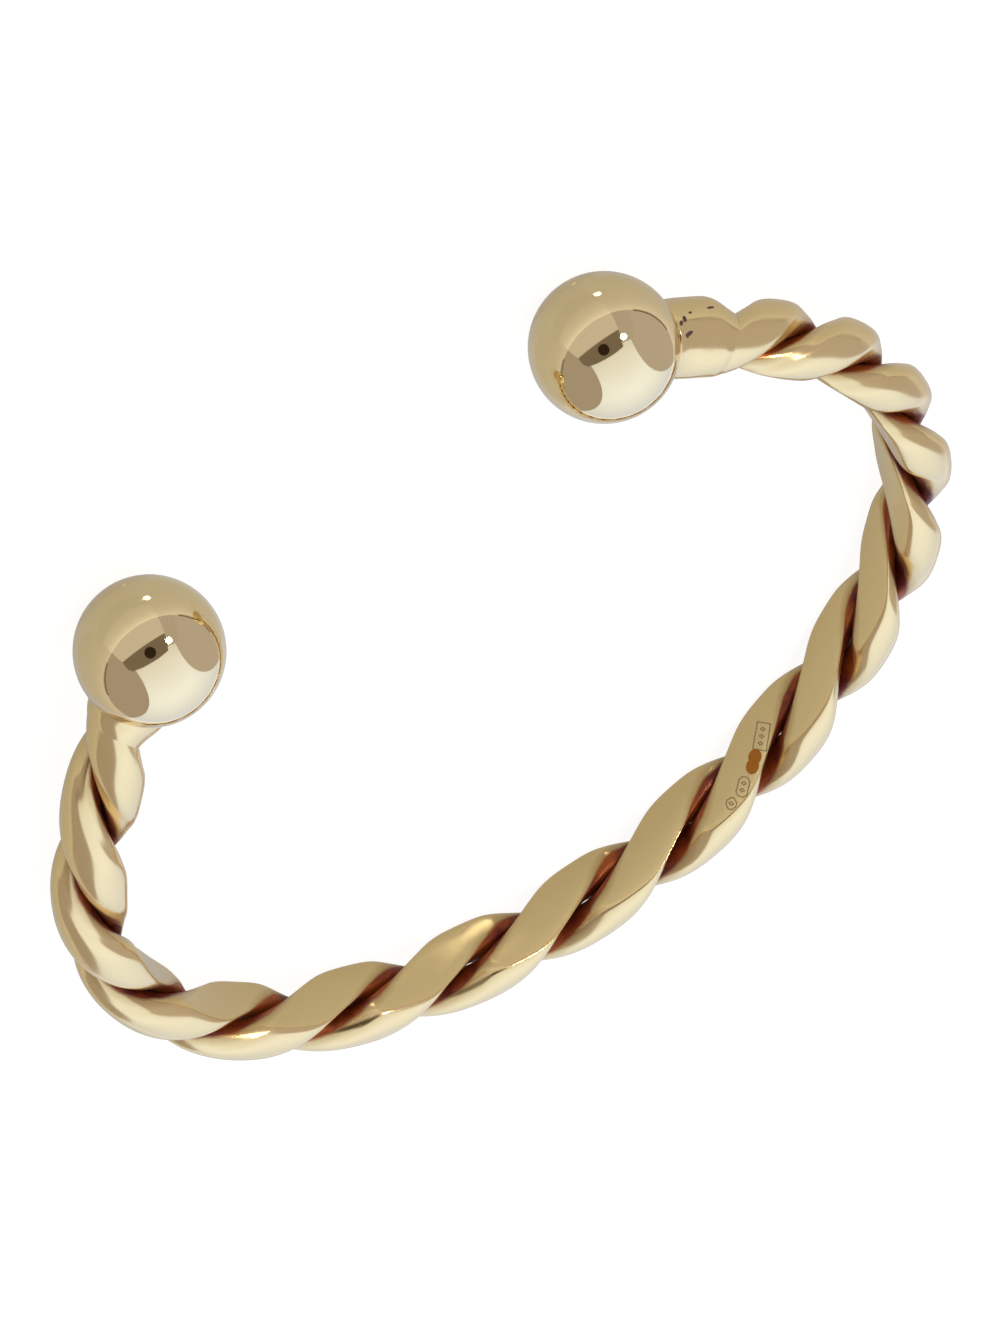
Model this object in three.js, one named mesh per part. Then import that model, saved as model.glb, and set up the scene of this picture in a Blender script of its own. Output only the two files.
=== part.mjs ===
// A torque bangle: two gold strands twisted together, bent into an open oval, with a round ball
// soldered on each end. Millimetres, +Z up. The bangle lies loose on a table at Z = 0, its mouth
// towards -Y, resting on both balls and on the lowest turn of the band.
import * as THREE from 'three';

// The oval, followed from the left ball round the closed side to the right ball: tangent arcs
// that all bend the same way, as [radius, sweep in degrees].
const OVAL_ARCS = [
  [43, 22],
  [22.3, 81.5],
  [37.5, 82.3],
  [23, 78.5],
  [59.5, 18],
];

// The twist is left-handed, a little tighter towards the left ball and at both ends.
const HALF_TURN = 9.34;           // length of half a turn at the middle of the band
const MIDDLE_ANGLE = -62;         // degrees, where strand_a lies at the middle of the band
const LEFT_TIGHTENING = 0.012;    // degrees per square millimetre from the middle
const END_TIGHTENING = 0.0002;    // degrees per cubic millimetre from the middle

// One strand: a flattened oval wire, its flat side against the other strand.
const STRAND_WIDTH = 3.85;
const STRAND_THICKNESS = 2.9;
const END_TAPER = 0.1;            // the wires are this much slimmer at the balls
const STRAND_GAP = 0.03;          // clearance between the strands, and to the balls

// The half of each section that faces the other strand is fuller than an ellipse, most of all
// near the balls, where the strands are squeezed together. 2 is a plain ellipse.
const FULLNESS = 2.2;
const FULLNESS_AT_END = 3.6;

// The wrist side of the band is hammered nearly flat, most of all at the closed side.
const FLAT_DISTANCE = 1.15;       // from the centre line to the flat
const FLAT_DISTANCE_AT_END = 2.2;
const FLAT_CORNER = 0.25;         // half the width of the rounding beside the flat
const FLAT_CORNER_AT_END = 0.9;
const FLAT_SLOPE = 0.12;          // what is left of the roundness on the flat

const BALL_RADIUS = 5;
const SEAT_RADIUS = 2.4;          // flat on the ball where the strands are soldered on
const SEAT_HEIGHT = Math.sqrt(BALL_RADIUS ** 2 - SEAT_RADIUS ** 2);
const REST_TILT = 2.33;           // degrees, mouth side raised because the balls are thicker

const STRAND_SIDES = 14;
const STRAND_STEPS = 128;
const BALL_SEGMENTS = 36;
const BALL_RINGS = 18;

const gold = () => new THREE.MeshStandardMaterial({
  color: 0xd9bd7c,
  roughness: 0.12,
  metalness: 1,
});

// Point and heading at a distance along the oval, before it is centred and turned.
function walkArcs(distance) {
  let x = 0;
  let y = 0;
  let heading = Math.PI;
  let left = distance;
  for (const [radius, sweep] of OVAL_ARCS) {
    const angle = Math.min(left / radius, THREE.MathUtils.degToRad(sweep));
    const turned = heading - angle;
    x += radius * (Math.sin(heading) - Math.sin(turned));
    y += radius * (Math.cos(turned) - Math.cos(heading));
    heading = turned;
    left = Math.max(0, left - radius * angle);
  }
  return { x, y, heading };
}

const OVAL_LENGTH = OVAL_ARCS.reduce(
  (sum, [radius, sweep]) => sum + radius * THREE.MathUtils.degToRad(sweep), 0);
const FAR_END = walkArcs(OVAL_LENGTH);
const MOUTH_TURN = Math.atan2(FAR_END.y, FAR_END.x);

// The centre line in its own plane: the balls' centres on the X axis, the closed side at +Y.
function centreLine(distance) {
  const { x, y, heading } = walkArcs(distance);
  const cos = Math.cos(-MOUTH_TURN);
  const sin = Math.sin(-MOUTH_TURN);
  const direction = heading - MOUTH_TURN;
  return {
    point: new THREE.Vector3(
      x * cos - y * sin - Math.hypot(FAR_END.x, FAR_END.y) / 2, x * sin + y * cos, 0),
    tangent: new THREE.Vector3(Math.cos(direction), Math.sin(direction), 0),
    outward: new THREE.Vector3(-Math.sin(direction), Math.cos(direction), 0),
  };
}

// Direction from the centre line to the middle of strand_a, in degrees from outward towards up.
function twistAngle(distance) {
  const fromMiddle = distance - OVAL_LENGTH / 2;
  return MIDDLE_ANGLE - 180 * fromMiddle / HALF_TURN
    + LEFT_TIGHTENING * fromMiddle ** 2 - END_TIGHTENING * fromMiddle ** 3;
}

// How far towards the wrist a point still reaches once the band is hammered flat. share is 0 at
// the middle of the band and 1 at the balls.
function hammered(inward, share) {
  const flat = THREE.MathUtils.lerp(FLAT_DISTANCE, FLAT_DISTANCE_AT_END, share);
  const corner = THREE.MathUtils.lerp(FLAT_CORNER, FLAT_CORNER_AT_END, share);
  const blend = THREE.MathUtils.clamp((inward - flat + corner) / (2 * corner), 0, 1);
  return Math.min(inward, flat - corner)
    + 2 * corner * (blend - (1 - FLAT_SLOPE) * blend ** 2 / 2)
    + FLAT_SLOPE * Math.max(0, inward - flat - corner);
}

// A closed body through a row of rings with the same number of points.
function skin(rings) {
  const sides = rings[0].length;
  const positions = rings.flat().flatMap((point) => point.toArray());
  const index = [];
  for (let i = 0; i + 1 < rings.length; i += 1) {
    for (let j = 0; j < sides; j += 1) {
      const a = i * sides + j;
      const b = i * sides + (j + 1) % sides;
      index.push(a, b + sides, b, a, a + sides, b + sides);
    }
  }
  const last = (rings.length - 1) * sides;
  for (let j = 1; j + 1 < sides; j += 1) {
    index.push(0, j, j + 1);
    index.push(last, last + j + 1, last + j);
  }
  const geometry = new THREE.BufferGeometry();
  geometry.setAttribute('position', new THREE.Float32BufferAttribute(positions, 3));
  geometry.setIndex(index);
  geometry.computeVertexNormals();
  return geometry;
}

function signedPower(value, power) {
  return Math.sign(value) * Math.abs(value) ** power;
}

// One twisted strand, from seat to seat. side is 0 for strand_a and 180 for strand_b.
function strand(name, side) {
  const start = SEAT_HEIGHT + STRAND_GAP;
  const length = OVAL_LENGTH - 2 * start;
  const up = new THREE.Vector3(0, 0, 1);
  const rings = [];
  for (let i = 0; i <= STRAND_STEPS; i += 1) {
    const distance = start + length * i / STRAND_STEPS;
    const { point, outward } = centreLine(distance);
    const turn = THREE.MathUtils.degToRad(twistAngle(distance) + side);
    const share = (2 * distance / OVAL_LENGTH - 1) ** 2;
    const slim = 1 - END_TAPER * share;
    const facing = THREE.MathUtils.lerp(FULLNESS, FULLNESS_AT_END, share);
    const ring = [];
    for (let j = 0; j < STRAND_SIDES; j += 1) {
      const angle = 2 * Math.PI * j / STRAND_SIDES;
      const power = Math.cos(angle) > 0 ? 2 / facing : 1;
      const across = 1 - signedPower(Math.cos(angle), power);
      const away = slim * STRAND_THICKNESS / 2 * across + STRAND_GAP / 2;
      const along = slim * STRAND_WIDTH / 2 * signedPower(Math.sin(angle), power);
      const inward = along * Math.sin(turn) - away * Math.cos(turn);
      ring.push(point.clone()
        .addScaledVector(outward, -hammered(inward, share))
        .addScaledVector(up, away * Math.sin(turn) + along * Math.cos(turn)));
    }
    rings.push(ring);
  }
  const mesh = new THREE.Mesh(skin(rings), gold());
  mesh.name = name;
  return mesh;
}

// A ball turned about the line of its neck, with a flat seat where the strands are soldered on.
// seatDistance is where the seat lies along the oval, and neckSign is 1 if the neck runs on from it.
function ball(name, seatDistance, neckSign) {
  const seat = Math.asin(SEAT_RADIUS / BALL_RADIUS);
  const profile = [new THREE.Vector2(0, -BALL_RADIUS)];
  for (let i = 1; i <= BALL_RINGS; i += 1) {
    const angle = (Math.PI - seat) * i / BALL_RINGS;
    profile.push(new THREE.Vector2(BALL_RADIUS * Math.sin(angle), -BALL_RADIUS * Math.cos(angle)));
  }
  profile.push(new THREE.Vector2(0, SEAT_HEIGHT));
  const mesh = new THREE.Mesh(new THREE.LatheGeometry(profile, BALL_SEGMENTS), gold());
  const { point, tangent } = centreLine(seatDistance);
  const neck = tangent.multiplyScalar(neckSign);
  mesh.name = name;
  mesh.position.copy(point).addScaledVector(neck, -SEAT_HEIGHT);
  mesh.quaternion.setFromUnitVectors(new THREE.Vector3(0, 1, 0), neck);
  return mesh;
}

const band = new THREE.Group();
band.add(
  strand('strand_a', 0),
  strand('strand_b', 180),
  ball('ball_left', SEAT_HEIGHT, 1),
  ball('ball_right', OVAL_LENGTH - SEAT_HEIGHT, -1),
);
band.rotation.x = THREE.MathUtils.degToRad(-REST_TILT);

// The origin is on the table, under the middle of the whole bangle.
const bangle = new THREE.Group();
bangle.add(band);
bangle.updateMatrixWorld(true);
const box = new THREE.Box3().setFromObject(bangle, true);
const middle = box.getCenter(new THREE.Vector3());
band.position.set(-middle.x, -middle.y, -box.min.z);

export default bangle;
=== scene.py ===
"""A torque bangle of two gold strands twisted together, with a ball on each end."""

import math

import bmesh
import bpy
from mathutils import Matrix, Vector


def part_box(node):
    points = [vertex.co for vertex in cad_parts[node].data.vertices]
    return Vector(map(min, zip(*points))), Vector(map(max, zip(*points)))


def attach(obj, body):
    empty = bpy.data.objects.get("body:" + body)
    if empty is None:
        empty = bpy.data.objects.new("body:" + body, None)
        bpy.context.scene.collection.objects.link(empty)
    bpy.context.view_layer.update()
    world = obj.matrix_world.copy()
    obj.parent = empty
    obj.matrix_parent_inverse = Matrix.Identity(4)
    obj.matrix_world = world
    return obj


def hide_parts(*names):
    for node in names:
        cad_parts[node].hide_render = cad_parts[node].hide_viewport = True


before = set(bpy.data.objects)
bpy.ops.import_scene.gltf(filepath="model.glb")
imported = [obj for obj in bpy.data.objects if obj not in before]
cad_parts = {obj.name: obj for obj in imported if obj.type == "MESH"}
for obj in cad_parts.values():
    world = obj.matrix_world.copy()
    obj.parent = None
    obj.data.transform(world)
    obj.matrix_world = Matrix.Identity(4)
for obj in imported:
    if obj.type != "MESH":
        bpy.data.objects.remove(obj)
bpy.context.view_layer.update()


# ---------------------------------------------------------------------------
# The oval. The bangle is bent round a mandrel from one ball to the other, in
# arcs that all bend the same way. It lies on its two balls and on the lowest
# turn of the band, so its plane is tilted a little, mouth side up.
# ---------------------------------------------------------------------------
MM = 0.001
OVAL_ARCS = [(43, 22), (22.3, 81.5), (37.5, 82.3), (23, 78.5), (59.5, 18)]  # radius, sweep in degrees
OVAL_LENGTH = sum(radius * math.radians(sweep) for radius, sweep in OVAL_ARCS)
REST_TILT = 2.33
BALL_RADIUS = 5.0
SEAT_RADIUS = 2.4
SEAT_HEIGHT = math.sqrt(BALL_RADIUS ** 2 - SEAT_RADIUS ** 2)


def walk_arcs(distance):
    """Point and heading at a distance along the arcs, in millimetres, before the oval is centred."""
    x, y, heading = 0.0, 0.0, math.pi
    for radius, sweep in OVAL_ARCS:
        angle = min(distance / radius, math.radians(sweep))
        turned = heading - angle
        x += radius * (math.sin(heading) - math.sin(turned))
        y += radius * (math.cos(turned) - math.cos(heading))
        heading = turned
        distance = max(0.0, distance - radius * angle)
    return x, y, heading


FAR_X, FAR_Y, _ = walk_arcs(OVAL_LENGTH)
MOUTH_TURN = math.atan2(FAR_Y, FAR_X)


def centre_line(distance):
    """Point, tangent and outward direction in the bangle's own plane, in millimetres."""
    x, y, heading = walk_arcs(distance)
    turn = Matrix.Rotation(-MOUTH_TURN, 3, "Z")
    point = turn @ Vector((x, y, 0)) - Vector((math.hypot(FAR_X, FAR_Y) / 2, 0, 0))
    direction = heading - MOUTH_TURN
    tangent = Vector((math.cos(direction), math.sin(direction), 0))
    return point, tangent, Vector((-tangent.y, tangent.x, 0))


def ball_centre(seat_distance, neck_sign):
    """Middle of a ball in the bangle's own plane; neck_sign is 1 where the band runs on from it."""
    point, tangent, _ = centre_line(seat_distance)
    return point - tangent * neck_sign * SEAT_HEIGHT


def middle_of(node):
    low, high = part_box(node)
    return (low + high) / 2


LEFT_CENTRE = ball_centre(SEAT_HEIGHT, 1)
RIGHT_CENTRE = ball_centre(OVAL_LENGTH - SEAT_HEIGHT, -1)
tilt = Matrix.Rotation(math.radians(-REST_TILT), 4, "X")
shift = (middle_of("ball_left") + middle_of("ball_right")
         - tilt @ (LEFT_CENTRE + RIGHT_CENTRE) * MM) / 2
REST = Matrix.Translation(shift) @ tilt @ Matrix.Scale(MM, 4)   # own plane in mm to the frame in m


# ---------------------------------------------------------------------------
# The two strands. Each is a drawn gold wire of flattened oval section, and the
# pair is twisted left-handed. The wrist side is then hammered nearly flat, most
# of all at the closed side, and the whole band is polished.
# ---------------------------------------------------------------------------
STRAND = {
    "Strand Width": 3.85,
    "Strand Thickness": 2.9,
    "Strand Gap": 0.03,
    "End Taper": 0.1,
    "Fullness": 2.2,
    "Fullness At End": 3.6,
    "Half Turn": 9.34,
    "Middle Angle": -62.0,
    "Left Tightening": 0.012,
    "End Tightening": 0.0002,
    "Flat Distance": 1.15,
    "Flat Distance At End": 2.2,
    "Flat Corner": 0.25,
    "Flat Corner At End": 0.9,
    "Flat Slope": 0.12,
}
STRAND_RINGS = 720
STRAND_SIDES = 72
NEARLY_CLOSED = 0.0001      # what is left of the first and last ring before its points are merged
SEAM_WIDTH = 0.001


def set_inputs(tree, node, sockets):
    """Links a node's inputs to sockets or sets them to values, given by name or number."""
    for name, value in sockets.items():
        if isinstance(value, bpy.types.NodeSocket):
            tree.links.new(value, node.inputs[name])
        else:
            node.inputs[name].default_value = value


def add(tree, kind, sockets=None, **properties):
    """Adds a node, sets its properties, and then its inputs."""
    made = tree.nodes.new(kind)
    for name, value in properties.items():
        setattr(made, name, value)
    set_inputs(tree, made, sockets or {})
    return made


def calc(tree, operation, *values, kind="ShaderNodeMath"):
    """A maths node's output; each value is a number or a socket."""
    return add(tree, kind, dict(enumerate(values)), operation=operation).outputs[0]


def vector_calc(tree, operation, *values):
    return calc(tree, operation, *values, kind="ShaderNodeVectorMath")


def scaled(tree, vector, factor):
    """A vector times a number."""
    sockets = {"Vector": vector, "Scale": factor}
    return add(tree, "ShaderNodeVectorMath", sockets, operation="SCALE").outputs[0]


def position_parts(tree):
    """The X, Y and Z of the point being placed."""
    position = add(tree, "GeometryNodeInputPosition").outputs[0]
    return add(tree, "ShaderNodeSeparateXYZ", {0: position}).outputs


def new_tree(name, kind, inputs, outputs):
    """An empty node tree with named sockets, and its two end nodes."""
    tree = bpy.data.node_groups.new(name, kind)
    for socket_name, socket_type in inputs:
        tree.interface.new_socket(name=socket_name, in_out="INPUT", socket_type=socket_type)
    for socket_name, socket_type in outputs:
        tree.interface.new_socket(name=socket_name, in_out="OUTPUT", socket_type=socket_type)
    return tree, tree.nodes.new("NodeGroupInput"), tree.nodes.new("NodeGroupOutput")


def floats(*names):
    """Sockets for numbers, for new_tree."""
    return [(name, "NodeSocketFloat") for name in names]


GEOMETRY = [("Geometry", "NodeSocketGeometry")]


def group_node(tree, group, sockets):
    """A group's node. It is also handed the strand's sizes that this tree was given."""
    given = next(node for node in tree.nodes if node.bl_idname == "NodeGroupInput")
    made = add(tree, "GeometryNodeGroup", node_tree=group)
    set_inputs(tree, made, {**sockets, **{name: given.outputs[name] for name in STRAND}})
    return made


def mixed(tree, start, end, share):
    """A number that goes from start to end as share goes from 0 to 1."""
    return add(tree, "ShaderNodeMix", {"Factor": share, "A": start, "B": end}).outputs[0]


def signed_power(tree, value, power):
    """A power of a value's size that keeps its sign."""
    size = calc(tree, "POWER", calc(tree, "ABSOLUTE", value), power)
    return calc(tree, "MULTIPLY", calc(tree, "SIGN", value), size)


def hand_over(tree, shaped, material, result):
    """The end of every tree: smooth shading, real geometry and the material."""
    smooth = add(tree, "GeometryNodeSetShadeSmooth", {"Geometry": shaped.outputs[0]})
    real = add(tree, "GeometryNodeRealizeInstances", {"Geometry": smooth.outputs[0]})
    painted = add(tree, "GeometryNodeSetMaterial", {"Geometry": real.outputs[0], "Material": material})
    tree.links.new(painted.outputs[0], result.inputs["Geometry"])


def band_frame_tree():
    """Where a distance lies on the band. Share is 0 at its middle and 1 at the balls' centres."""
    tree, given, result = new_tree(
        "band_frame", "GeometryNodeTree",
        [("Centre Line", "NodeSocketGeometry")] + floats("Distance", *STRAND),
        floats("From Middle", "Share", "Slim"))
    slot = given.outputs
    length = add(tree, "GeometryNodeCurveLength", {"Curve": slot["Centre Line"]}).outputs[0]
    half = calc(tree, "MULTIPLY", length, 0.5)
    from_middle = calc(tree, "SUBTRACT", slot["Distance"], half)
    ratio = calc(tree, "DIVIDE", from_middle, half)
    share = calc(tree, "MULTIPLY", ratio, ratio)
    slim = calc(tree, "SUBTRACT", 1.0, calc(tree, "MULTIPLY", slot["End Taper"], share))
    for name, value in (("From Middle", from_middle), ("Share", share), ("Slim", slim)):
        tree.links.new(value, result.inputs[name])
    return tree


def hammered_tree():
    """How far towards the wrist a point still reaches once the band is hammered flat."""
    tree, given, result = new_tree(
        "hammered", "GeometryNodeTree", floats("Inward", "Share", *STRAND), floats("Inward"))
    slot = given.outputs
    flat = mixed(tree, slot["Flat Distance"], slot["Flat Distance At End"], slot["Share"])
    corner = mixed(tree, slot["Flat Corner"], slot["Flat Corner At End"], slot["Share"])
    from_flat = calc(tree, "SUBTRACT", slot["Inward"], flat)
    corner_width = calc(tree, "MULTIPLY", corner, 2.0)
    blend = calc(tree, "DIVIDE", calc(tree, "ADD", from_flat, corner), corner_width)
    blend = calc(tree, "MAXIMUM", calc(tree, "MINIMUM", blend, 1.0), 0.0)
    lost = calc(tree, "MULTIPLY", calc(tree, "SUBTRACT", 1.0, slot["Flat Slope"]), 0.5)
    lost = calc(tree, "MULTIPLY", lost, calc(tree, "MULTIPLY", blend, blend))
    in_corner = calc(tree, "MULTIPLY", corner_width, calc(tree, "SUBTRACT", blend, lost))
    below = calc(tree, "MINIMUM", slot["Inward"], calc(tree, "SUBTRACT", flat, corner))
    past = calc(tree, "MAXIMUM", calc(tree, "SUBTRACT", from_flat, corner), 0.0)
    past = calc(tree, "MULTIPLY", past, slot["Flat Slope"])
    inward = calc(tree, "ADD", calc(tree, "ADD", below, in_corner), past)
    tree.links.new(inward, result.inputs["Inward"])
    return tree


def band_point_tree(band_frame, hammered):
    """Where a point is that turns with the twist. Away leads into strand_a, and Along across it."""
    tree, given, result = new_tree(
        "band_point", "GeometryNodeTree",
        [("Centre Line", "NodeSocketGeometry")] + floats("Distance", "Side", "Away", "Along", *STRAND),
        [("Position", "NodeSocketVector")])
    slot = given.outputs
    where = {"Centre Line": slot["Centre Line"], "Distance": slot["Distance"]}
    on_band = group_node(tree, band_frame, where).outputs
    from_middle = on_band["From Middle"]
    square = calc(tree, "MULTIPLY", from_middle, from_middle)

    # the twist, in degrees from outward towards up
    turns = calc(tree, "DIVIDE", calc(tree, "MULTIPLY", from_middle, 180.0), slot["Half Turn"])
    twist = calc(tree, "SUBTRACT", calc(tree, "ADD", slot["Middle Angle"], slot["Side"]), turns)
    twist = calc(tree, "ADD", twist, calc(tree, "MULTIPLY", square, slot["Left Tightening"]))
    cube = calc(tree, "MULTIPLY", square, from_middle)
    twist = calc(tree, "SUBTRACT", twist, calc(tree, "MULTIPLY", cube, slot["End Tightening"]))
    twist = calc(tree, "RADIANS", twist)
    cosine, sine = calc(tree, "COSINE", twist), calc(tree, "SINE", twist)
    raised = calc(tree, "ADD", calc(tree, "MULTIPLY", slot["Away"], sine),
                  calc(tree, "MULTIPLY", slot["Along"], cosine))
    inward = calc(tree, "SUBTRACT", calc(tree, "MULTIPLY", slot["Along"], sine),
                  calc(tree, "MULTIPLY", slot["Away"], cosine))
    flattened = group_node(tree, hammered, {"Inward": inward, "Share": on_band["Share"]})

    sample = add(tree, "GeometryNodeSampleCurve",
                 {"Curves": slot["Centre Line"], "Length": slot["Distance"]}, mode="LENGTH")
    up = add(tree, "ShaderNodeCombineXYZ", {"Z": 1.0}).outputs[0]
    wristward = vector_calc(tree, "CROSS_PRODUCT", sample.outputs["Tangent"], up)
    wristward = vector_calc(tree, "NORMALIZE", wristward)
    place = vector_calc(tree, "ADD", scaled(tree, wristward, flattened.outputs["Inward"]),
                        scaled(tree, up, raised))
    place = vector_calc(tree, "ADD", sample.outputs["Position"], place)
    tree.links.new(place, result.inputs["Position"])
    return tree


def strand_surface_tree(band_frame, band_point):
    """Where a point of a strand's skin is, from its distance along the oval and its ring angle."""
    tree, given, result = new_tree(
        "strand_surface", "GeometryNodeTree",
        [("Centre Line", "NodeSocketGeometry")]
        + floats("Distance", "Ring Angle", "Side", "Open", *STRAND),
        [("Position", "NodeSocketVector")])
    slot = given.outputs
    where = {"Centre Line": slot["Centre Line"], "Distance": slot["Distance"]}
    on_band = group_node(tree, band_frame, where).outputs
    slim = on_band["Slim"]
    half_thickness = calc(tree, "MULTIPLY", calc(tree, "MULTIPLY", slot["Strand Thickness"], 0.5), slim)
    half_width = calc(tree, "MULTIPLY", calc(tree, "MULTIPLY", slot["Strand Width"], 0.5), slim)

    # the half that faces the other strand is fuller than an ellipse
    fullness = mixed(tree, slot["Fullness"], slot["Fullness At End"], on_band["Share"])
    cosine, sine = calc(tree, "COSINE", slot["Ring Angle"]), calc(tree, "SINE", slot["Ring Angle"])
    facing = calc(tree, "GREATER_THAN", cosine, 0.0)
    power = mixed(tree, 1.0, calc(tree, "DIVIDE", 2.0, fullness), facing)
    turned = calc(tree, "MULTIPLY", signed_power(tree, cosine, power), slot["Open"])
    away = calc(tree, "MULTIPLY", half_thickness, calc(tree, "SUBTRACT", 1.0, turned))
    away = calc(tree, "ADD", away, calc(tree, "MULTIPLY", slot["Strand Gap"], 0.5))
    along = calc(tree, "MULTIPLY", half_width, signed_power(tree, sine, power))
    along = calc(tree, "MULTIPLY", along, slot["Open"])
    place = group_node(tree, band_point, {**where, "Side": slot["Side"], "Away": away, "Along": along})
    tree.links.new(place.outputs["Position"], result.inputs["Position"])
    return tree


def twisted_strand_tree(surface):
    """A strand from seat to seat: a grid wrapped into a closed skin, with smooth ends."""
    tree, given, result = new_tree(
        "twisted_strand", "GeometryNodeTree",
        GEOMETRY + [("Rings", "NodeSocketInt"), ("Sides", "NodeSocketInt")]
        + floats("Start", "Side", "Unevenness", "Shade Held Back At End")
        + [("Material", "NodeSocketMaterial")] + floats(*STRAND), GEOMETRY)
    slot = given.outputs
    line = add(tree, "GeometryNodeMeshToCurve", {"Mesh": slot["Geometry"]}).outputs[0]
    length = add(tree, "GeometryNodeCurveLength", {"Curve": line}).outputs[0]
    grid = add(tree, "GeometryNodeMeshGrid",
               {"Size X": 1.0, "Size Y": 1.0, "Vertices X": slot["Rings"], "Vertices Y": slot["Sides"]})
    on_grid = position_parts(tree)
    part = calc(tree, "ADD", on_grid["X"], 0.5)
    run = calc(tree, "SUBTRACT", length, calc(tree, "MULTIPLY", slot["Start"], 2.0))
    distance = calc(tree, "ADD", slot["Start"], calc(tree, "MULTIPLY", part, run))
    angle = calc(tree, "MULTIPLY", calc(tree, "ADD", on_grid["Y"], 0.5), math.tau)

    # the first and last rings close to a point
    steps = calc(tree, "SUBTRACT", slot["Rings"], 1.0)
    to_end = calc(tree, "MINIMUM", calc(tree, "MULTIPLY", part, steps),
                  calc(tree, "MULTIPLY", calc(tree, "SUBTRACT", 1.0, part), steps))
    open_ = calc(tree, "MINIMUM", calc(tree, "ADD", to_end, NEARLY_CLOSED), 1.0)

    # how deep in the groove a point lies, 1 at the bottom; near the balls it is lowered, so the painted
    # groove shade stays further down there
    ratio = calc(tree, "SUBTRACT", calc(tree, "MULTIPLY", part, 2.0), 1.0)
    shade_held_back = calc(tree, "MULTIPLY", calc(tree, "MULTIPLY", ratio, ratio), slot["Shade Held Back At End"])
    stored = add(tree, "GeometryNodeStoreNamedAttribute",
                 {"Geometry": grid.outputs["Mesh"], "Name": "groove",
                  "Value": calc(tree, "SUBTRACT", calc(tree, "COSINE", angle), shade_held_back)},
                 data_type="FLOAT", domain="POINT")
    skin = group_node(tree, surface, {"Centre Line": line, "Distance": distance, "Ring Angle": angle,
                                      "Side": slot["Side"], "Open": open_})
    shaped = add(tree, "GeometryNodeSetPosition",
                 {"Geometry": stored.outputs[0], "Position": skin.outputs["Position"]})
    closed = add(tree, "GeometryNodeMergeByDistance",
                 {"Geometry": shaped.outputs[0], "Distance": SEAM_WIDTH})

    # hand work leaves the polished faces very slightly uneven
    noise = add(tree, "ShaderNodeTexNoise", {"Scale": 0.16, "Detail": 1.0}, noise_dimensions="3D")
    wave = calc(tree, "MULTIPLY", calc(tree, "SUBTRACT", noise.outputs[0], 0.5), slot["Unevenness"])
    offset = scaled(tree, add(tree, "GeometryNodeInputNormal").outputs[0], wave)
    uneven = add(tree, "GeometryNodeSetPosition", {"Geometry": closed.outputs[0], "Offset": offset})
    hand_over(tree, uneven, slot["Material"], result)
    return tree


def run_tree(name, start_mesh, tree, values, in_frame=False):
    """Makes a plain mesh object from a geometry tree.

    Unless it is in the frame already, it is a closed one in the bangle's own plane and millimetres.
    """
    piece = bpy.data.objects.new(name, start_mesh)
    bpy.context.scene.collection.objects.link(piece)
    modifier = piece.modifiers.new("shape", "NODES")
    modifier.node_group = tree
    sockets = {item.name: item.identifier for item in tree.interface.items_tree
               if item.item_type == "SOCKET" and item.in_out == "INPUT"}
    for label, value in values.items():
        modifier[sockets[label]] = value
    depsgraph = bpy.context.evaluated_depsgraph_get()
    made = bpy.data.meshes.new_from_object(
        piece.evaluated_get(depsgraph), preserve_all_data_layers=True, depsgraph=depsgraph)
    piece.modifiers.remove(modifier)
    piece.data = made
    made.name = name
    if in_frame:
        return piece
    made.transform(REST)
    facing_out = bmesh.new()
    facing_out.from_mesh(made)
    bmesh.ops.recalc_face_normals(facing_out, faces=facing_out.faces)
    facing_out.to_mesh(made)
    facing_out.free()
    return piece


def polish_group():
    """The finish that every gold piece shares: faint waves, hairline scratches and worn patches."""
    tree, given, result = new_tree(
        "hand_polish", "ShaderNodeTree",
        floats("Wave Size", "Wave Depth", "Scratch Depth", "Least Roughness", "Most Roughness"),
        floats("Height", "Roughness"))
    slot = given.outputs
    place = add(tree, "ShaderNodeTexCoord").outputs["Object"]
    in_mm = scaled(tree, place, 1 / MM)
    waves = add(tree, "ShaderNodeTexNoise",
                {"Vector": in_mm, "Scale": calc(tree, "DIVIDE", 1.0, slot["Wave Size"]), "Detail": 1.5})
    height = calc(tree, "MULTIPLY", waves.outputs[0], slot["Wave Depth"])

    # hairlines: noise stretched along three directions, only its highest crests
    scratches = None
    for angle, stretch in ((12, (9.0, 0.25, 0.4)), (67, (11.0, 0.3, 0.5)), (131, (8.0, 0.2, 0.35))):
        rotation = [math.radians(part) for part in (angle / 3, angle / 2, angle)]
        turned = add(tree, "ShaderNodeMapping",
                     {"Vector": in_mm, "Rotation": rotation, "Scale": stretch})
        crest = add(tree, "ShaderNodeTexNoise",
                    {"Vector": turned.outputs[0], "Scale": 1.0, "Detail": 2.0})
        line = add(tree, "ShaderNodeMapRange",
                   {"Value": crest.outputs[0], "From Min": 0.66, "From Max": 0.74}).outputs[0]
        scratches = line if scratches is None else calc(tree, "MAXIMUM", scratches, line)
    height = calc(tree, "SUBTRACT", height, calc(tree, "MULTIPLY", scratches, slot["Scratch Depth"]))
    patches = add(tree, "ShaderNodeTexNoise", {"Vector": in_mm, "Scale": 0.35, "Detail": 4.0})
    patches = add(tree, "ShaderNodeMapRange",
                  {"Value": patches.outputs[0], "From Min": 0.35, "From Max": 0.7}).outputs[0]
    worn = calc(tree, "MAXIMUM", patches, scratches)
    spread = calc(tree, "SUBTRACT", slot["Most Roughness"], slot["Least Roughness"])
    roughness = calc(tree, "ADD", slot["Least Roughness"], calc(tree, "MULTIPLY", worn, spread))
    tree.links.new(height, result.inputs["Height"])
    tree.links.new(roughness, result.inputs["Roughness"])
    return tree


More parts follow.
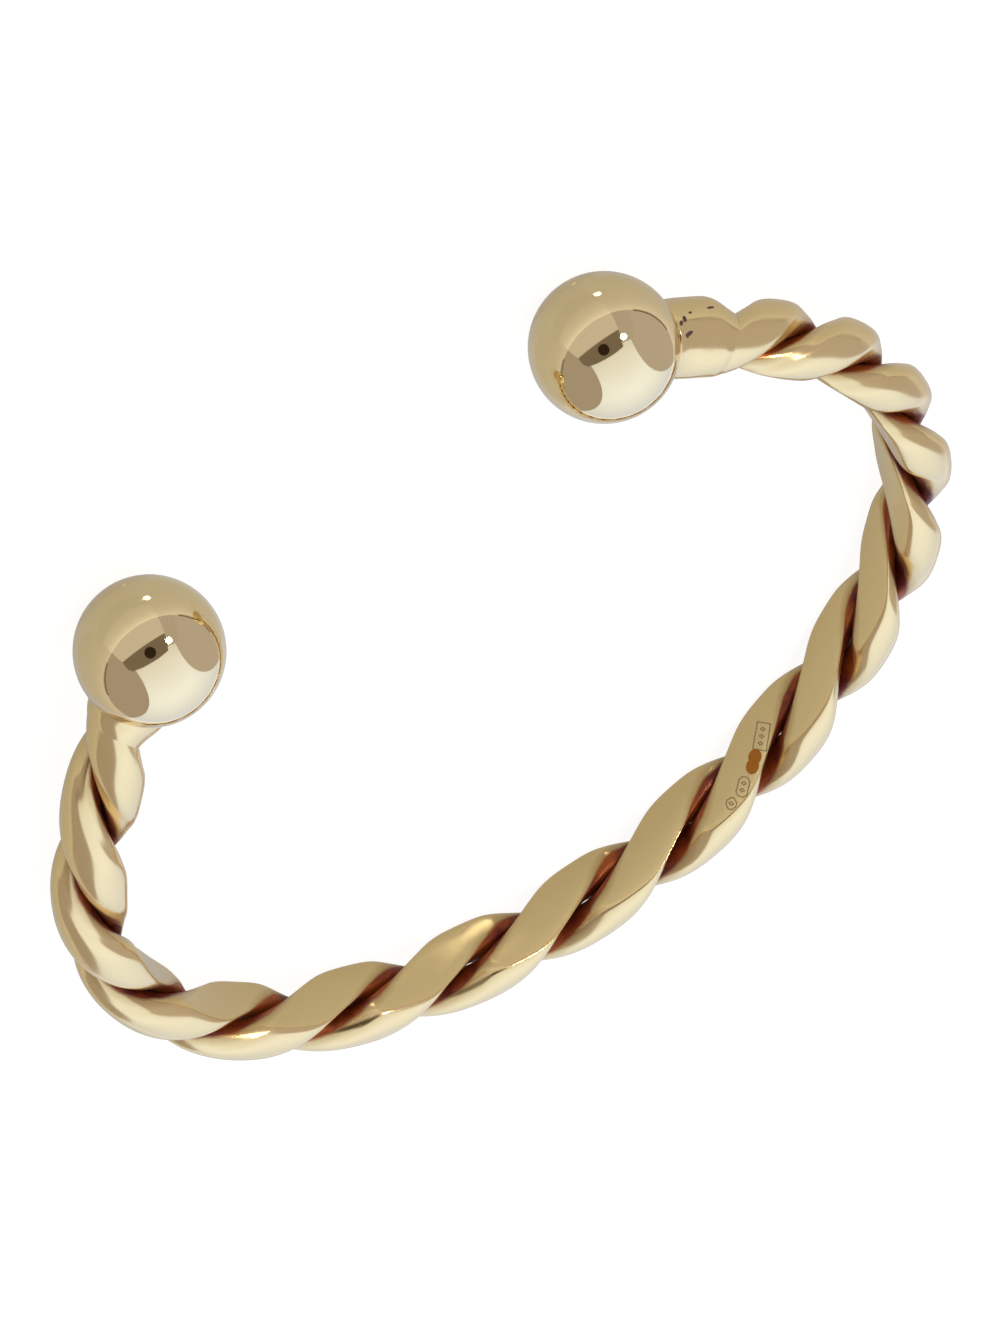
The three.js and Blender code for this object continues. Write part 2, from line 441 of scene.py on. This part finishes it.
STRAND_GOLD = (0.835, 0.60, 0.262, 1)
# painted shade: the brown that darkens the gold just beside the groove
SOFT_GROOVE_SHADE = (0.46, 0.27, 0.085, 1)
# painted shade: the dark and the red-brown colours deep in the groove between the strands
DARK_GROOVE_SHADE = (0.13, 0.012, 0.004, 1)
RED_GROOVE_SHADE = (0.34, 0.070, 0.006, 1)
RAGGEDNESS = 0.35                # how far the painted groove shade's edge wanders, in the groove attribute
GROOVE_SHADE_ROUGHENS = 0.16
GROOVE_SHADE_HIDES_METAL = 0.45
SCRATCH_DEPTH = 0.0004
hand_polish = polish_group()


def gold_material(name, colour, wave_size, wave_depth, least, most):
    """Polished gold, from its least to its most roughness. Returns the material and its polish node."""
    material = bpy.data.materials.new(name)
    material.use_nodes = True
    tree = material.node_tree
    shader = tree.nodes["Principled BSDF"]
    shader.inputs["Base Color"].default_value = colour
    shader.inputs["Metallic"].default_value = 1.0
    polish = add(tree, "ShaderNodeGroup", node_tree=hand_polish)
    set_inputs(tree, polish, {"Wave Size": wave_size, "Wave Depth": wave_depth,
                              "Scratch Depth": SCRATCH_DEPTH, "Least Roughness": least,
                              "Most Roughness": most})
    bump = add(tree, "ShaderNodeBump",
               {"Height": polish.outputs["Height"], "Distance": MM, "Strength": 1.0})
    tree.links.new(bump.outputs[0], shader.inputs["Normal"])
    tree.links.new(polish.outputs["Roughness"], shader.inputs["Roughness"])
    return material, polish


def colour_between(tree, start, end, share):
    """A colour that goes from start to end as share goes from 0 to 1."""
    factor, colour_a, colour_b, colour_out = 0, 6, 7, 2         # the Mix node's sockets for colours
    sockets = {factor: share, colour_a: start, colour_b: end}
    return add(tree, "ShaderNodeMix", sockets, data_type="RGBA").outputs[colour_out]


def strand_gold():
    """Strand gold, with dark red-brown painted shade down in the groove between the strands, where it
    is also rougher and less metallic.
    """
    material, polish = gold_material(
        "strand_gold", STRAND_GOLD, wave_size=2.6, wave_depth=0.010, least=0.17, most=0.26)
    tree = material.node_tree
    shader = tree.nodes["Principled BSDF"]
    depth = add(tree, "ShaderNodeAttribute", attribute_name="groove").outputs["Fac"]
    place = scaled(tree, add(tree, "ShaderNodeTexCoord").outputs["Object"], 1 / MM)
    blotch = add(tree, "ShaderNodeTexNoise", {"Vector": place, "Scale": 0.45, "Detail": 3.0}).outputs[0]
    wander = calc(tree, "MULTIPLY", calc(tree, "SUBTRACT", blotch, 0.5), RAGGEDNESS)
    ragged = calc(tree, "ADD", depth, wander)
    # painted shade: deep in the groove the gold turns dark red-brown
    groove_shade = add(tree, "ShaderNodeMapRange",
                {"Value": ragged, "From Min": 0.42, "From Max": 0.58}).outputs[0]
    groove_shade_colour = add(tree, "ShaderNodeValToRGB", {"Fac": blotch})
    ramp = groove_shade_colour.color_ramp.elements
    ramp[0].position, ramp[0].color = 0.38, DARK_GROOVE_SHADE
    ramp[1].position, ramp[1].color = 0.62, RED_GROOVE_SHADE
    # painted shade: a faint brown darkening runs a little way out of the groove
    soft_shade = add(tree, "ShaderNodeMapRange",
               {"Value": ragged, "From Min": 0.0, "From Max": 0.46, "To Max": 0.65}).outputs[0]
    soft_shaded = colour_between(tree, STRAND_GOLD, SOFT_GROOVE_SHADE, soft_shade)
    tint = colour_between(tree, soft_shaded, groove_shade_colour.outputs[0], groove_shade)
    tree.links.new(tint, shader.inputs["Base Color"])
    rougher = calc(tree, "MULTIPLY", groove_shade, GROOVE_SHADE_ROUGHENS)
    rough = calc(tree, "ADD", polish.outputs["Roughness"], rougher)
    tree.links.new(rough, shader.inputs["Roughness"])
    metal = calc(tree, "SUBTRACT", 1.0, calc(tree, "MULTIPLY", groove_shade, GROOVE_SHADE_HIDES_METAL))
    tree.links.new(metal, shader.inputs["Metallic"])
    return material


def centre_line_mesh():
    """The centre line as a row of edges, in millimetres."""
    count = 900
    points = [centre_line(OVAL_LENGTH * i / count)[0] for i in range(count + 1)]
    mesh = bpy.data.meshes.new("centre_line")
    mesh.from_pydata(points, [(i, i + 1) for i in range(count)], [])
    return mesh


band_frame = band_frame_tree()
band_point = band_point_tree(band_frame, hammered_tree())
twisted_strand = twisted_strand_tree(strand_surface_tree(band_frame, band_point))
strand_finish = strand_gold()
for node, side in (("strand_a", 0.0), ("strand_b", 180.0)):
    strand = run_tree("twisted_" + node, centre_line_mesh(), twisted_strand, {
        "Rings": STRAND_RINGS, "Sides": STRAND_SIDES, "Start": SEAT_HEIGHT + STRAND["Strand Gap"],
        "Side": side, "Unevenness": 0.06, "Shade Held Back At End": 0.22, "Material": strand_finish, **STRAND})
    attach(strand, "root")
    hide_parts(node)


# ---------------------------------------------------------------------------
# The balls. Each is raised in two halves, soldered and polished to a mirror,
# and sits on the ends of both strands.
# ---------------------------------------------------------------------------
BALL_GOLD = (0.84, 0.635, 0.315, 1)
BALL_SEGMENTS = 128
BALL_RINGS = 64
ball_finish, _ = gold_material(
    "ball_gold", BALL_GOLD, wave_size=3.5, wave_depth=0.0012, least=0.03, most=0.07)

for node, centre in (("ball_left", LEFT_CENTRE), ("ball_right", RIGHT_CENTRE)):
    shell = bmesh.new()
    bmesh.ops.create_uvsphere(
        shell, u_segments=BALL_SEGMENTS, v_segments=BALL_RINGS, radius=BALL_RADIUS)
    bmesh.ops.translate(shell, verts=shell.verts, vec=centre)
    shell.verts.index_update()
    # the operator leaves the faces in another order each time, so they are sorted
    faces = sorted([vert.index for vert in face.verts] for face in shell.faces)
    mesh = bpy.data.meshes.new("polished_" + node)
    mesh.from_pydata([vert.co for vert in shell.verts], [], faces)
    mesh.shade_smooth()
    shell.free()
    mesh.transform(REST)
    mesh.materials.append(ball_finish)
    ball = bpy.data.objects.new("polished_" + node, mesh)
    bpy.context.scene.collection.objects.link(ball)
    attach(ball, "root")
    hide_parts(node)


# ---------------------------------------------------------------------------
# The necks. Where the band meets a ball, solder fills the grooves between the
# strands and flares out on the ball, all filed and polished as one.
# ---------------------------------------------------------------------------
SQUARISH, ROUND = 0.7, 1.0      # the power that shapes the neck's section


def neck_tree(band_frame, band_point):
    """A sleeve round both strands that shrinks into the groove as it runs away from the ball."""
    tree, given, result = new_tree(
        "neck", "GeometryNodeTree",
        GEOMETRY + [("Rings", "NodeSocketInt"), ("Sides", "NodeSocketInt")]
        + floats("At Ball", "Full Until", "End", "Full Size", "End Size", "Roundness",
                 "Flare", "Flare Length")
        + [("Material", "NodeSocketMaterial")] + floats(*STRAND), GEOMETRY)
    slot = given.outputs
    line = add(tree, "GeometryNodeMeshToCurve", {"Mesh": slot["Geometry"]}).outputs[0]
    grid = add(tree, "GeometryNodeMeshGrid",
               {"Size X": 1.0, "Size Y": 1.0, "Vertices X": slot["Rings"], "Vertices Y": slot["Sides"]})
    on_grid = position_parts(tree)
    part = calc(tree, "ADD", on_grid["X"], 0.5)
    distance = mixed(tree, slot["At Ball"], slot["End"], part)
    angle = calc(tree, "MULTIPLY", calc(tree, "ADD", on_grid["Y"], 0.5), math.tau)

    # full size first, then shrinking to the end, and flared on the ball
    shrink = add(tree, "ShaderNodeMapRange",
                 {"Value": distance, "From Min": slot["Full Until"], "From Max": slot["End"]},
                 interpolation_type="SMOOTHSTEP").outputs[0]
    size = mixed(tree, slot["Full Size"], slot["End Size"], shrink)
    from_ball = calc(tree, "ABSOLUTE", calc(tree, "SUBTRACT", distance, slot["At Ball"]))
    flare = calc(tree, "SUBTRACT", 1.0, calc(tree, "DIVIDE", from_ball, slot["Flare Length"]))
    flare = calc(tree, "MAXIMUM", flare, 0.0)
    flare = calc(tree, "MULTIPLY", slot["Flare"], calc(tree, "MULTIPLY", flare, flare))
    size = calc(tree, "ADD", size, flare)
    steps = calc(tree, "SUBTRACT", slot["Rings"], 1.0)
    to_end = calc(tree, "MINIMUM", part, calc(tree, "SUBTRACT", 1.0, part))
    to_end = calc(tree, "MULTIPLY", to_end, steps)
    open_ = calc(tree, "MINIMUM", calc(tree, "ADD", to_end, NEARLY_CLOSED), 1.0)
    size = calc(tree, "MULTIPLY", size, open_)

    where = {"Centre Line": line, "Distance": distance}
    size = calc(tree, "MULTIPLY", size, group_node(tree, band_frame, where).outputs["Slim"])

    # nearly round by the ball, where both strands are buried in it
    by_ball = calc(tree, "MULTIPLY", slot["Roundness"], calc(tree, "SUBTRACT", 1.0, shrink))
    power = mixed(tree, SQUARISH, ROUND, by_ball)
    half_width = calc(tree, "MULTIPLY", slot["Strand Width"], 0.5)
    half_width = mixed(tree, half_width, slot["Strand Thickness"], by_ball)
    away = signed_power(tree, calc(tree, "COSINE", angle), power)
    away = calc(tree, "MULTIPLY", calc(tree, "MULTIPLY", away, slot["Strand Thickness"]), size)
    along = signed_power(tree, calc(tree, "SINE", angle), power)
    along = calc(tree, "MULTIPLY", calc(tree, "MULTIPLY", along, half_width), size)
    place = group_node(tree, band_point, {**where, "Side": 0.0, "Away": away, "Along": along})
    shaped = add(tree, "GeometryNodeSetPosition",
                 {"Geometry": grid.outputs["Mesh"], "Position": place.outputs["Position"]})
    closed = add(tree, "GeometryNodeMergeByDistance",
                 {"Geometry": shaped.outputs[0], "Distance": SEAM_WIDTH})
    hand_over(tree, closed, slot["Material"], result)
    return tree


neck = neck_tree(band_frame, band_point)
neck_finish, _ = gold_material(
    "neck_gold", STRAND_GOLD, wave_size=1.6, wave_depth=0.012, least=0.15, most=0.24)
NECK_RINGS = 90
NECK_SIDES = 72
INSIDE_BALL = SEAT_HEIGHT - 0.25
for side, at_ball, full_until, end, roundness in (
        ("left", INSIDE_BALL, 7.8, 12.8, 0.85),
        ("right", OVAL_LENGTH - INSIDE_BALL, OVAL_LENGTH - 4.8, OVAL_LENGTH - 10.4, 0.45)):
    solder = run_tree("neck_solder_" + side, centre_line_mesh(), neck, {
        "Rings": NECK_RINGS, "Sides": NECK_SIDES, "At Ball": at_ball, "Full Until": full_until,
        "End": end, "Full Size": 1.03, "End Size": 0.42, "Roundness": roundness, "Flare": 0.03,
        "Flare Length": 0.8, "Material": neck_finish, **STRAND})
    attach(solder, "root")


# ---------------------------------------------------------------------------
# The marks. Small punched frames stand in a row on the flat wrist side, with a
# brown heat stain between them, and the solder at the left ball has a few pits.
# Each is a thin skin laid on the gold under it. The punched lines and the pits are painted dark, as
# painted shade of their hollows.
# ---------------------------------------------------------------------------
def laid_on_tree():
    """Drops a flat drawing along a direction on another piece, and lifts it by a hair."""
    tree, given, result = new_tree(
        "laid_on", "GeometryNodeTree",
        GEOMETRY + [("Under", "NodeSocketObject"), ("Direction", "NodeSocketVector")]
        + floats("Reach", "Lift") + [("Material", "NodeSocketMaterial")], GEOMETRY)
    slot = given.outputs
    under = add(tree, "GeometryNodeObjectInfo", {"Object": slot["Under"]}).outputs["Geometry"]
    start = add(tree, "GeometryNodeInputPosition").outputs[0]
    hit = add(tree, "GeometryNodeRaycast",
              {"Target Geometry": under, "Source Position": start,
               "Ray Direction": slot["Direction"], "Ray Length": slot["Reach"]}).outputs
    place = vector_calc(tree, "ADD", hit["Hit Position"], scaled(tree, hit["Hit Normal"], slot["Lift"]))
    laid = add(tree, "GeometryNodeSetPosition",
               {"Geometry": slot["Geometry"], "Selection": hit["Is Hit"], "Position": place})
    hand_over(tree, laid, slot["Material"], result)
    return tree


def frame_point(distance, outward_mm, up_mm):
    """A point beside the centre line, in the frame."""
    point, _, outward = centre_line(distance)
    return REST @ (point + outward * outward_mm + Vector((0, 0, up_mm)))


def turned_about(point, centre, degrees):
    """A point of a drawing, turned and then moved to a centre."""
    cosine, sine = math.cos(math.radians(degrees)), math.sin(math.radians(degrees))
    along, across = point
    return centre[0] + along * cosine - across * sine, centre[1] + along * sine + across * cosine


def line_drawing(corners, width, step=0.12):
    """A closed line of a given width through the corners, as small four-sided faces."""
    faces = []
    for i, start in enumerate(corners):
        begin, end = Vector(start), Vector(corners[(i + 1) % len(corners)])
        run = (end - begin).normalized()
        beside = Vector((-run.y, run.x)) * width / 2
        begin, end = begin - run * width / 2, end + run * width / 2
        count = max(1, round((end - begin).length / step))
        for k in range(count):
            a, b = begin.lerp(end, k / count), begin.lerp(end, (k + 1) / count)
            faces.append([a + beside, a - beside, b - beside, b + beside])
    return faces


def filled_drawing(centre, along, across, degrees, rings=3, sides=20):
    """A filled oval, as rings of small faces."""
    faces = []
    for i in range(rings):
        for k in range(sides):
            corners = []
            for ring, step in ((i, k), (i + 1, k), (i + 1, k + 1), (i, k + 1)):
                angle = math.tau * step / sides
                share = ring / rings
                point = (along * share * math.cos(angle), across * share * math.sin(angle))
                corners.append(Vector(turned_about(point, centre, degrees)))
            faces.append(corners)
    return faces


def lay(name, faces, to_frame, under, direction, lift, material):
    """Makes a piece from flat faces, laid on another piece."""
    points = [to_frame(*point) for face in faces for point in face]
    mesh = bpy.data.meshes.new(name)
    mesh.from_pydata(points, [], [tuple(range(4 * i, 4 * i + 4)) for i in range(len(faces))])
    piece = run_tree(name, mesh, laid_on, {"Under": under, "Direction": direction, "Reach": 20 * MM,
                                           "Lift": lift, "Material": material}, in_frame=True)
    joined = bmesh.new()
    joined.from_mesh(piece.data)
    bmesh.ops.remove_doubles(joined, verts=joined.verts, dist=SEAM_WIDTH * MM)
    joined.normal_update()
    wrong = [face for face in joined.faces if face.normal.dot(direction) > 0]
    bmesh.ops.reverse_faces(joined, faces=wrong)
    joined.to_mesh(piece.data)
    joined.free()
    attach(piece, "root")


def dull_gold(name, colour, metallic, roughness):
    """Plain, rough gold of one colour for the marks: painted shade in the punched lines and the pits,
    and the heat stain.
    """
    material = bpy.data.materials.new(name)
    material.use_nodes = True
    shader = material.node_tree.nodes["Principled BSDF"]
    shader.inputs["Base Color"].default_value = (*colour, 1)
    shader.inputs["Metallic"].default_value = metallic
    shader.inputs["Roughness"].default_value = roughness
    return material


laid_on = laid_on_tree()
DRAWN_AWAY = 4.0                 # how far from the centre line a drawing starts
MARKS_AT = 64                    # where the row of marks is along the oval
strand_under = bpy.data.objects["twisted_strand_a"]
to_wall = (REST.to_3x3() @ centre_line(MARKS_AT)[2]).normalized()


def before_wall(distance, height):
    """A point of a drawing that is laid on the wrist side of the band."""
    return frame_point(distance, -DRAWN_AWAY, height)


PUNCH_LINE = 0.085
LOZENGE = [(0.13, 0), (0, 0.2), (-0.13, 0), (0, -0.2)]
LOZENGE_ROOM = 0.7               # length of frame that each lozenge takes
LOZENGE_SPACING = 0.55
FRAMES = [                       # centre, turn, length, width, how much each corner is cut off
    ((61.60, -0.07), 37, 2.10, 1.20, 0.02),
    ((65.35, 1.72), 33, 1.55, 0.94, 0.26),
    ((66.93, 2.02), 33, 0.92, 0.84, 0.30),
]
punched = []
for centre, turn_by, length, width, cut in FRAMES:
    x, y = length / 2, width / 2
    corners = [(x, y - cut), (x - cut, y), (cut - x, y), (-x, y - cut),
               (-x, cut - y), (cut - x, -y), (x - cut, -y), (x, cut - y)]
    punched += line_drawing([turned_about(corner, centre, turn_by) for corner in corners], PUNCH_LINE)
    # one, two or three small lozenges stand in each frame
    count = round(length / LOZENGE_ROOM)
    for i in range(count):
        middle = turned_about(((i - (count - 1) / 2) * LOZENGE_SPACING, 0), centre, turn_by)
        lozenge = [turned_about(corner, middle, turn_by) for corner in LOZENGE]
        punched += line_drawing(lozenge, PUNCH_LINE * 0.9)
# painted shade: the punched lines are dark flat lines standing in for the shade in their hollows
lay("punch_marks", punched, before_wall, strand_under, to_wall, 0.01 * MM,
    dull_gold("punched_line_shade", (0.36, 0.24, 0.10), 0.7, 0.5))

heat = filled_drawing((63.08, 0.70), 0.62, 0.56, 20) + filled_drawing((63.72, 1.10), 0.62, 0.54, 20)
lay("heat_stain", heat, before_wall, strand_under, to_wall, 0.02 * MM,
    dull_gold("burnt_gold", (0.46, 0.145, 0.004), 0.55, 0.5))

PITS_AT = 5
outside_neck = centre_line(PITS_AT)[2]
to_neck = (REST.to_3x3() @ (-outside_neck - Vector((0, 0, 1)))).normalized()


def before_neck(distance, beside):
    """A point of a drawing that is laid on the neck from above and outside."""
    step = beside * math.sqrt(0.5)
    return frame_point(distance, DRAWN_AWAY + step, DRAWN_AWAY - step)


pits = []
for distance, beside, along, across, turn_by in (
        (4.55, 0.85, 0.20, 0.12, 60), (4.90, 1.10, 0.22, 0.14, 75), (4.95, 0.10, 0.32, 0.14, 25),
        (4.80, -0.05, 0.13, 0.11, 80), (5.50, 1.50, 0.13, 0.08, 10), (7.20, 1.75, 0.30, 0.08, 5)):
    pits += filled_drawing((distance, beside), along, across, turn_by, rings=2, sides=12)
# painted shade: each pit is a dark flat patch standing in for the shade in its hollow
lay("solder_pits", pits, before_neck, bpy.data.objects["neck_solder_left"], to_neck, 0.01 * MM,
    dull_gold("pit_shade", (0.13, 0.06, 0.045), 0.5, 0.6))


# ---------------------------------------------------------------------------
# The stage: a white table in a cloth light tent. The tent's side flaps and its
# front, with the slot for the lens, are only seen as reflections.
# ---------------------------------------------------------------------------
def glow(name, colour, strength=1.0):
    """Cloth or a lamp that shines evenly."""
    material = bpy.data.materials.new(name)
    material.use_nodes = True
    tree = material.node_tree
    tree.nodes.clear()
    light = add(tree, "ShaderNodeEmission", {"Color": (*colour, 1), "Strength": strength})
    out = tree.nodes.new("ShaderNodeOutputMaterial")
    tree.links.new(light.outputs[0], out.inputs["Surface"])
    return material


def card(name, corners, material):
    """A flat card of the tent, seen by the gold but not by the camera."""
    mesh = bpy.data.meshes.new(name)
    mesh.from_pydata(corners, [], [list(range(len(corners)))])
    mesh.materials.append(material)
    made = bpy.data.objects.new(name, mesh)
    bpy.context.scene.collection.objects.link(made)
    made.visible_camera = False
    made.visible_shadow = False


SIDE_AWAY = 0.42
SIDE_REACH = 0.54
ARCH_STEPS = 40
HEM_HEIGHT = 0.012
HEM_INSET = 0.002
FRONT_AWAY = 0.30
for name, sign, height, colour, hem_from, hem_to in (
        ("tent_left", -1, 0.70, (0.53, 0.53, 0.64), -0.24, 0.17),
        ("tent_right", 1, 0.60, (0.43, 0.42, 0.48), -0.22, 0.12)):
    angles = [math.pi * i / ARCH_STEPS for i in range(ARCH_STEPS + 1)]
    arch = [(sign * SIDE_AWAY, SIDE_REACH * math.cos(angle), height * math.sin(angle))
            for angle in angles]
    card(name, arch, glow(name, colour))
    hem = [(sign * (SIDE_AWAY - HEM_INSET), y, z)
           for y, z in ((hem_from, 0), (hem_to, 0), (hem_to, HEM_HEIGHT), (hem_from, HEM_HEIGHT))]
    card(name + "_hem", hem, glow(name + "_hem", (0.12, 0.10, 0.08)))


def front_card(name, colour, away, corners):
    """A card across the front of the tent, from the X and Z of its corners."""
    card(name, [(x, -away, z) for x, z in corners], glow(name, colour))


front_card("tent_corner", (0.50, 0.50, 0.60), FRONT_AWAY + 0.01,
           [(-SIDE_AWAY, 0), (-0.16, 0), (-0.16, 0.34), (-SIDE_AWAY, 0.42)])
front_card("tent_front_low", (0.66, 0.68, 0.80), FRONT_AWAY,
           [(-0.17, 0), (0.33, 0), (0.34, 0.16), (-0.17, 0.16)])
front_card("tent_slot", (0.21, 0.19, 0.19), FRONT_AWAY,
           [(-0.17, 0.16), (0.34, 0.16), (0.47, 0.38), (0.25, 0.42), (0.0, 0.43), (-0.17, 0.41)])


DISC_SIDES = 48


def disc(name, centre, radius, material):
    """A round card that faces the bangle."""
    facing = centre.to_track_quat("Z", "Y")
    angles = [math.tau * i / DISC_SIDES for i in range(DISC_SIDES)]
    card(name, [centre + facing @ Vector((radius * math.cos(angle), radius * math.sin(angle), 0))
                for angle in angles], material)


disc("lens", Vector((0.036, -0.26, 0.225)), 0.050, glow("lens", (0.03, 0.02, 0.015)))
disc("lamp", Vector((-0.194, -0.284, 0.250)), 0.030, glow("lamp", (0.92, 0.97, 1.0), strength=45.0))


def tent_light():
    """White cloth lit from outside: brighter behind and overhead, dimmer near the table."""
    world = bpy.data.worlds.new("tent")
    bpy.context.scene.world = world
    world.use_nodes = True
    tree = world.node_tree
    tree.nodes.clear()
    direction = add(tree, "ShaderNodeSeparateXYZ",
                    {0: add(tree, "ShaderNodeTexCoord").outputs["Generated"]}).outputs
    behind = add(tree, "ShaderNodeMapRange",
                 {"Value": direction["Y"], "From Min": -0.5, "From Max": 0.6}).outputs[0]
    high = add(tree, "ShaderNodeMapRange",
               {"Value": direction["Z"], "From Min": 0.0, "From Max": 0.87, "To Min": 0.70}).outputs[0]
    cloth = colour_between(tree, (0.88, 1.02, 1.38, 1), (1.10, 1.36, 2.10, 1), behind)
    light = add(tree, "ShaderNodeBackground", {"Color": cloth, "Strength": high})
    out = tree.nodes.new("ShaderNodeOutputWorld")
    tree.links.new(light.outputs[0], out.inputs["Surface"])


tent_light()


def table():
    """The plain table. It is white to the eye and a soft grey where the gold mirrors it."""
    half = 3.0
    mesh = bpy.data.meshes.new("table")
    corners = [(-half, -half, 0), (half, -half, 0), (half, half, 0), (-half, half, 0)]
    mesh.from_pydata(corners, [], [(0, 1, 2, 3)])
    made = bpy.data.objects.new("table", mesh)
    bpy.context.scene.collection.objects.link(made)
    material = bpy.data.materials.new("table")
    material.use_nodes = True
    tree = material.node_tree
    seen = tree.nodes["Principled BSDF"]
    seen.inputs["Base Color"].default_value = (0.24, 0.21, 0.14, 1)
    seen.inputs["Roughness"].default_value = 0.6
    seen.inputs["Specular IOR Level"].default_value = 0.0
    seen.inputs["Emission Color"].default_value = (1, 1, 1, 1)
    seen.inputs["Emission Strength"].default_value = 0.90
    mirrored = add(tree, "ShaderNodeBsdfPrincipled",
                   {"Base Color": (0.30, 0.27, 0.20, 1), "Roughness": 0.06, "Specular IOR Level": 0.5,
                    "Emission Color": (0.30, 0.32, 0.36, 1), "Emission Strength": 1.0})
    eye = add(tree, "ShaderNodeLightPath").outputs["Is Camera Ray"]
    either = add(tree, "ShaderNodeMixShader", {"Fac": eye, 1: mirrored.outputs[0], 2: seen.outputs[0]})
    tree.links.new(either.outputs[0], tree.nodes["Material Output"].inputs["Surface"])
    mesh.materials.append(material)


table()


# ---------------------------------------------------------------------------
# The camera looks down on the mouth side, and the picture is turned so that
# the closed side swings down to the right.
# ---------------------------------------------------------------------------
ELEVATION = 38.84
AZIMUTH = -6.00
PICTURE_TURN = 217.57
CAMERA_AWAY = 0.5
AIM_RIGHT, AIM_UP = 0.00148, -0.00139        # from the origin to the picture's middle
LENS_MM = 198.2

azimuth, elevation = math.radians(AZIMUTH), math.radians(ELEVATION)
look = Vector((math.sin(azimuth) * math.cos(elevation), math.cos(azimuth) * math.cos(elevation),
               -math.sin(elevation)))
level = Vector((math.cos(azimuth), -math.sin(azimuth), 0))
above = level.cross(look)
turn = math.radians(PICTURE_TURN)
right = level * math.cos(turn) - above * math.sin(turn)
up = level * math.sin(turn) + above * math.cos(turn)
lens = bpy.data.cameras.new("camera")
lens.lens = LENS_MM
lens.sensor_width = 36
lens.clip_start, lens.clip_end = 0.01, 20
camera = bpy.data.objects.new("camera", lens)
bpy.context.scene.collection.objects.link(camera)
place = right * AIM_RIGHT + up * AIM_UP - look * CAMERA_AWAY
camera.matrix_world = Matrix.Translation(place) @ Matrix((right, up, -look)).transposed().to_4x4()
bpy.context.scene.camera = camera
bpy.context.scene.view_settings.view_transform = "Standard"
